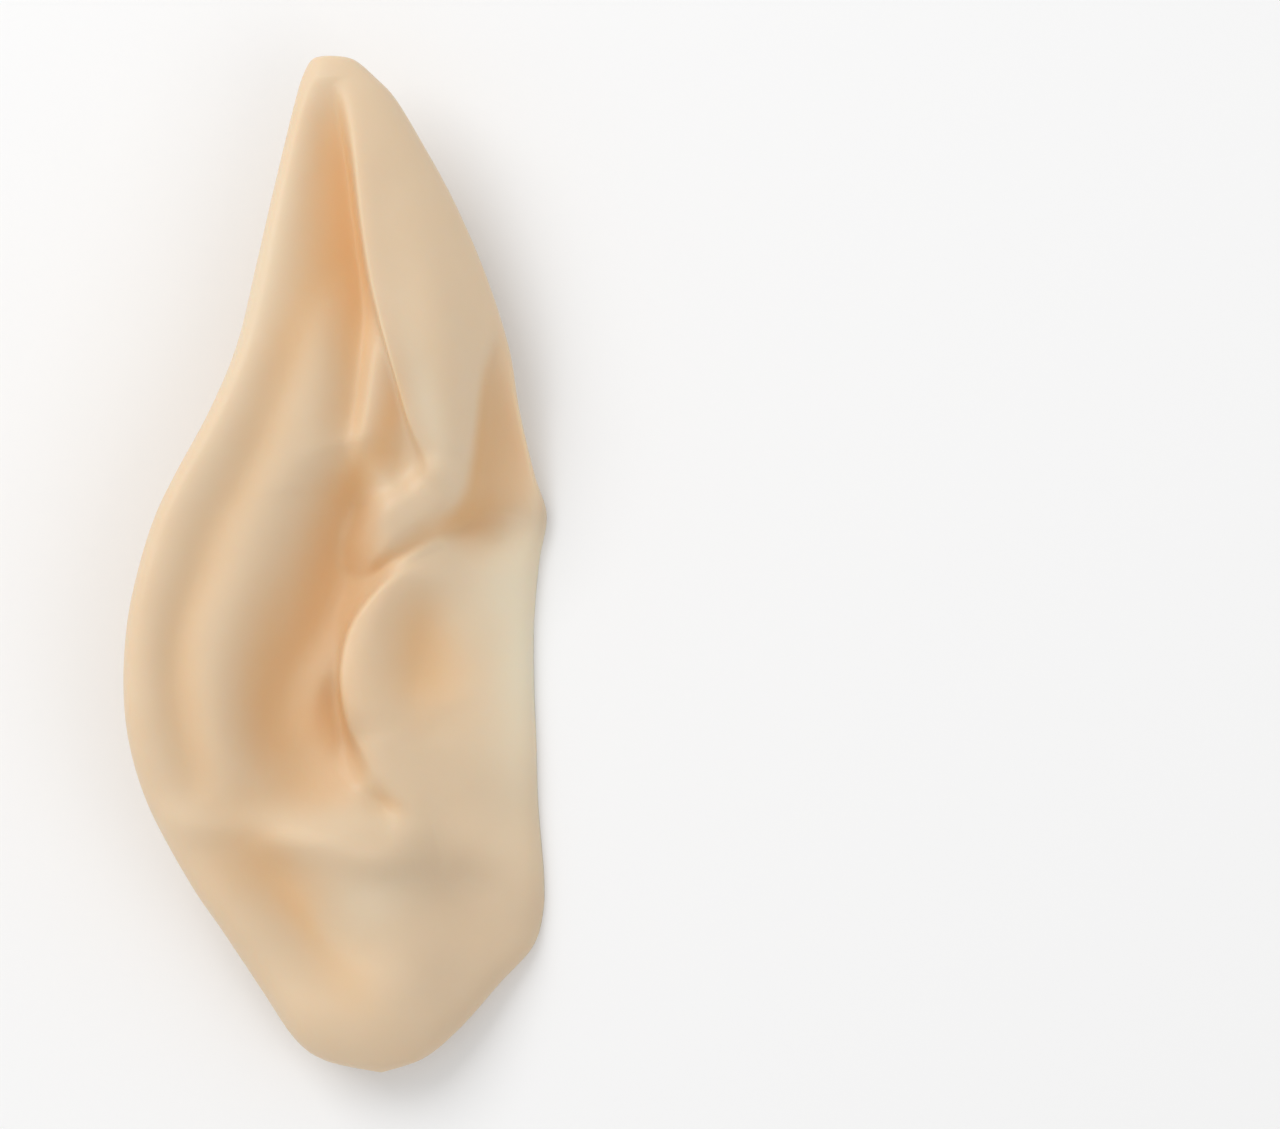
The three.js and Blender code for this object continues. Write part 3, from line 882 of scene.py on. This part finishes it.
@dataclass(frozen=True)
class CastLatex:
    """Satin skin-toned latex: ivory beige, orange-pink in the folds that is partly painted shade,
    paler at the trimmed edge, with painted shade in places and painted light on lit ridges.
    """

    base: Colour = (0.75, 0.58, 0.395, 1.0)
    mottle: Colour = (0.73, 0.55, 0.36, 1.0)
    # blush: partly the latex's own orange-pink tint, partly painted shade in the folds
    blush_and_shade: Colour = (0.79, 0.44, 0.17, 1.0)
    # painted shade: a brown-grey that darkens places that lie in shade
    painted_shade: Colour = (0.50, 0.38, 0.26, 1.0)
    # pale: the thin latex's own paler tone, and painted light on lit ridges and edges
    pale_and_painted_light: Colour = (0.78, 0.69, 0.52, 1.0)
    clouds: Cloud = Cloud(90.0, 3.0)
    grain: Cloud = Cloud(900.0, 2.0)
    pores: Cloud = Cloud(3200.0, 2.0, 0.6)
    mottle_from: float = 0.3
    mottle_gain: float = 1.6
    even_layer: float = 0.9
    clouded_layer: float = 0.2
    pore_share: float = 0.7
    grain_share: float = 0.5
    skin_bump: Bump = Bump(0.25, 0.00006)
    dent_bump: Bump = Bump(0.5, 0.0004)
    roughness: float = 0.50
    roughness_spread: float = 0.12
    refraction: float = 1.45
    scatter_weight: float = 0.35
    scatter_radius: tuple[float, float, float] = (0.0022, 0.0013, 0.0008)

    def make(self) -> bpy.types.Material:
        """Builds the material from the colours painted on the skin, among them painted shade and
        painted light, and the grain of the casting.
        """
        bench = Bench("cast_latex")
        clouds = bench.noise(self.clouds)
        grain = bench.noise(self.grain)
        pores = bench.noise(self.pores)
        mottling = (clouds - self.mottle_from) * self.mottle_gain
        colour = bench.mix(mottling, self.base, self.mottle)
        # Blush, painted shade and the pale tone with its painted light are mixed in here.
        for colour_layer, tone in ((PigmentAndPaintedLight.BLUSH_AND_SHADE, self.blush_and_shade), (PigmentAndPaintedLight.PAINTED_SHADE, self.painted_shade),
                              (PigmentAndPaintedLight.PALE_AND_PAINTED_LIGHT, self.pale_and_painted_light)):
            evenness = self.even_layer + clouds * self.clouded_layer
            amount = bench.attribute(colour_layer.value) * evenness
            colour = bench.mix(amount.within(0.0, 1.0), colour, tone)
        bump = bench.add("ShaderNodeBump", inputs={
            "Strength": self.skin_bump.strength, "Distance": self.skin_bump.depth,
            "Height": pores * self.pore_share + grain * self.grain_share})
        dents = bench.add("ShaderNodeBump", inputs={
            "Strength": self.dent_bump.strength, "Distance": self.dent_bump.depth,
            "Height": clouds, "Normal": bump})
        shader = bench.add("ShaderNodeBsdfPrincipled", inputs={
            "Base Color": colour,
            "Roughness": self.roughness + (grain - NOISE_MIDDLE) * self.roughness_spread,
            "Normal": dents,
            "Subsurface Weight": self.scatter_weight,
            "Subsurface Radius": self.scatter_radius,
            "Subsurface Scale": 1.0,
            "IOR": self.refraction,
        })
        return bench.finish(shader)


@dataclass
class EarShell:
    """The whole ear: the skin, the hollow inside it and the flat trimmed edge between the two."""

    form: EarForm
    finish: CastLatex = field(default_factory=CastLatex)
    wrap: Wrap = Wrap(rows=300, outer=212, head=48)
    softened: int = 1

    def paint(self, bm: bmesh.types.BMesh, verts: list[bmesh.types.BMVert], blush_and_shade: Grid) -> None:
        """Writes the painted colours on the skin's vertices: blush, painted shade and the pale tone
        with its painted light.

        Args:
            bm: The mesh.
            verts: The vertices of the skin.
            blush_and_shade: The blush in the folds for each vertex, partly the latex's own tint and
                partly painted shade.
        """
        points = np.array([vert.co[:] for vert in verts]) / MM
        x, y = points[:, 0], points[:, 1]
        for colour_layer, spots in PAINTED_SPOTS.items():
            # The blush starts from the colour gathered in the folds, which is partly painted shade.
            amount = blush_and_shade.copy() if colour_layer is PigmentAndPaintedLight.BLUSH_AND_SHADE else np.zeros_like(x)
            for spot in spots:
                amount += spot.amount * self.form.spot(spot, x, y)
            layer = bm.verts.layers.float[colour_layer.value]
            for vert, value in zip(verts, np.clip(amount, 0.0, 1.0)):
                vert[layer] = value

    def build_skin(self, bm: bmesh.types.BMesh) -> None:
        """Lays the skin over the ear and softens the sharp edges of its folds.

        Args:
            bm: The mesh that it is added to.
        """
        verts, t, c, outer = self.wrap.lay(bm)
        points, blush_and_shade = self.form.head_side(t, c), np.zeros_like(t)
        points[outer], blush_and_shade[outer] = self.form.outer_face(t[outer], c[outer])
        for vert, point in zip(verts, points):
            vert.co = point * MM
        self.paint(bm, verts, blush_and_shade)
        self.wrap.close(bm, verts)
        for _ in range(self.softened):
            bmesh.ops.smooth_vert(
                bm, verts=bm.verts, factor=SMOOTHING,
                use_axis_x=True, use_axis_y=True, use_axis_z=True)

    def trim(self, bm: bmesh.types.BMesh) -> None:
        """Cuts the ear off flat at the head and closes the wall there.

        Args:
            bm: The mesh of the skin and the hollow.
        """
        cut = bmesh.ops.bisect_plane(
            bm, geom=bm.verts[:] + bm.edges[:] + bm.faces[:], plane_co=(0, 0, 0),
            plane_no=(0, 0, -1), clear_outer=True)
        rim = [part for part in cut["geom_cut"] if isinstance(part, bmesh.types.BMEdge)]
        bmesh.ops.triangle_fill(bm, use_beauty=True, edges=rim, normal=(0, 0, -1))
        bmesh.ops.recalc_face_normals(bm, faces=bm.faces)

    def build(self) -> bpy.types.Object:
        """Makes the ear as one closed body.

        Returns:
            The finished piece.
        """
        bm = bmesh.new()
        for colour_layer in PigmentAndPaintedLight:
            bm.verts.layers.float.new(colour_layer.value)
        self.build_skin(bm)
        Hollow(self.form).build(bm)
        self.trim(bm)
        mesh = bpy.data.meshes.new("latex_ear")
        bm.to_mesh(mesh)
        bm.free()
        mesh.shade_smooth()
        mesh.materials.append(self.finish.make())
        piece = bpy.data.objects.new("latex_ear", mesh)
        bpy.context.scene.collection.objects.link(piece)
        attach(piece, "root")
        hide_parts(NODE)
        return piece


@dataclass(frozen=True)
class Lamp:
    """A soft square light that is aimed at the middle of the ear."""

    name: str
    place: tuple[float, float, float]
    size: float
    power: float
    aim_height: float = 0.01

    def hang(self) -> None:
        """Hangs the lamp in its place."""
        light = bpy.data.lights.new(self.name, "AREA")
        light.size, light.energy = self.size, self.power
        lamp = bpy.data.objects.new(self.name, light)
        lamp.location = self.place
        lamp.rotation_mode = "QUATERNION"
        aim = Vector((0, 0, self.aim_height)) - Vector(self.place)
        lamp.rotation_quaternion = aim.to_track_quat("-Z", "Y")
        bpy.context.scene.collection.objects.link(lamp)


@dataclass
class Studio:
    """The white table, the soft light and the camera straight above the ear."""

    ear_height: float
    floor_size: float = 3.0
    floor_tone: Colour = (0.90, 0.90, 0.90, 1.0)
    floor_roughness: float = 0.9
    sky_strength: float = 0.69
    camera_distance: float = 1.2
    focus_height: float = 0.012
    film_width: float = 36.0
    farthest_seen: float = 10.0
    lamps: tuple[Lamp, ...] = (
        Lamp("key_light", (-0.50, 0.50, 0.75), 0.60, 4.8),
        Lamp("fill_light", (0.50, -0.20, 0.90), 0.60, 0.8),
    )

    def build_floor(self) -> None:
        """Makes the table top that the ear lies on."""
        bm = bmesh.new()
        bmesh.ops.create_grid(bm, x_segments=1, y_segments=1, size=self.floor_size / 2)
        mesh = bpy.data.meshes.new("table_top")
        bm.to_mesh(mesh)
        bm.free()
        bench = Bench("table_paint")
        mesh.materials.append(bench.finish(bench.add("ShaderNodeBsdfPrincipled", inputs={
            "Base Color": self.floor_tone, "Roughness": self.floor_roughness})))
        floor = bpy.data.objects.new("table_top", mesh)
        bpy.context.scene.collection.objects.link(floor)

    def build_sky(self) -> None:
        """Fills the room with even white light."""
        world = bpy.data.worlds.new("studio_light")
        world.use_nodes = True
        sky = world.node_tree.nodes["Background"]
        sky.inputs["Color"].default_value = (1.0, 1.0, 1.0, 1.0)
        sky.inputs["Strength"].default_value = self.sky_strength
        bpy.context.scene.world = world
        bpy.context.scene.view_settings.view_transform = "Standard"

    def build_camera(self) -> None:
        """Hangs the camera so that the ear fills the picture as in the photograph."""
        pixel = self.ear_height / PHOTO_EAR_HEIGHT
        data = bpy.data.cameras.new("camera")
        data.sensor_width = self.film_width
        data.lens = self.film_width * self.camera_distance / (PHOTO_PIXELS[0] * pixel)
        data.clip_end = self.farthest_seen
        camera = bpy.data.objects.new("camera", data)
        camera.location = (
            (PHOTO_PIXELS[0] / 2 - PHOTO_EAR_MIDDLE[0]) * pixel,
            (PHOTO_EAR_MIDDLE[1] - PHOTO_PIXELS[1] / 2) * pixel,
            self.camera_distance + self.focus_height,
        )
        bpy.context.scene.collection.objects.link(camera)
        bpy.context.scene.camera = camera

    def build(self) -> None:
        """Sets up the whole studio."""
        self.build_floor()
        self.build_sky()
        self.build_camera()
        for lamp in self.lamps:
            lamp.hang()


def form_in_frame() -> EarForm:
    """Takes the ear's main sizes from the model's box."""
    low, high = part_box(NODE)
    size = (high - low) / MM
    return EarForm(width=size.x, height=size.y, stand_off=size.z * STAND_OFF_TO_DEPTH)


def main() -> None:
    """Builds the studio and the ear, and reports each piece."""
    logging.basicConfig(level=logging.INFO, format="%(message)s")
    form = form_in_frame()
    Studio(ear_height=form.height * MM).build()
    log.info("studio: table top, camera and lights")
    piece = EarShell(form).build()
    log.info("%s: %d faces", piece.name, len(piece.data.polygons))


if __name__ == "__main__":
    main()
